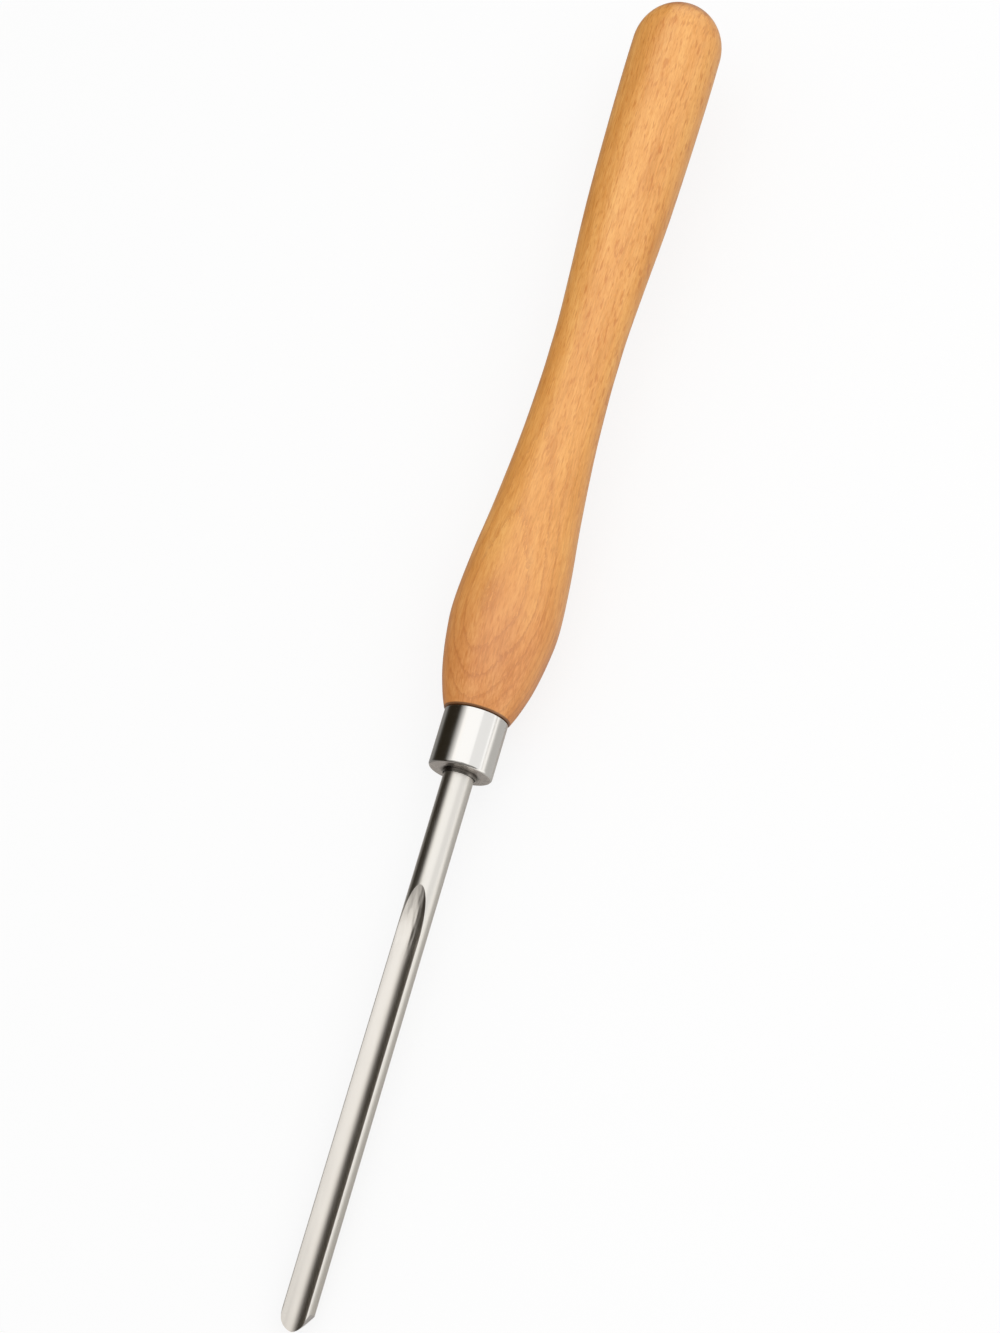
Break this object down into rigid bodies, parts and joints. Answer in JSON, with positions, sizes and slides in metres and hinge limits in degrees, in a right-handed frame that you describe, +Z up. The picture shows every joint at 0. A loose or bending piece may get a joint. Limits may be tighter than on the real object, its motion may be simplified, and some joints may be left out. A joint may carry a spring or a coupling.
{
  "type": "spindle gouge",
  "caption": "Woodturner's spindle gouge: turned beech handle, polished steel ferrule with a collar, and a round steel bar with a shallow flute and a fingernail nose.",
  "frame": {"origin": "on the bench under the middle of the box round the tool, which lies nose down on the bulge of its handle and on its blade", "axes": "+X from the butt towards the cutting edge, level with the bench, so that the tool's own axis points 3.24 degrees below it; +Z up, with the flute open upwards; +Y to the left, seen from the butt"},
  "size_m": [0.5606, 0.0426, 0.0546],
  "materials": {
    "beech": "turned beech under a thin satin lacquer, warm light orange with short dark flecks along the grain",
    "ferrule_steel": "turned steel polished to a mirror",
    "blade_steel": "high-speed steel, ground and polished, with finer grinding lines in the flute and on the bevel"
  },
  "bodies": {
    "root": {"handle": "beech", "ferrule": "ferrule_steel", "blade": "blade_steel"}
  },
  "joints": []
}
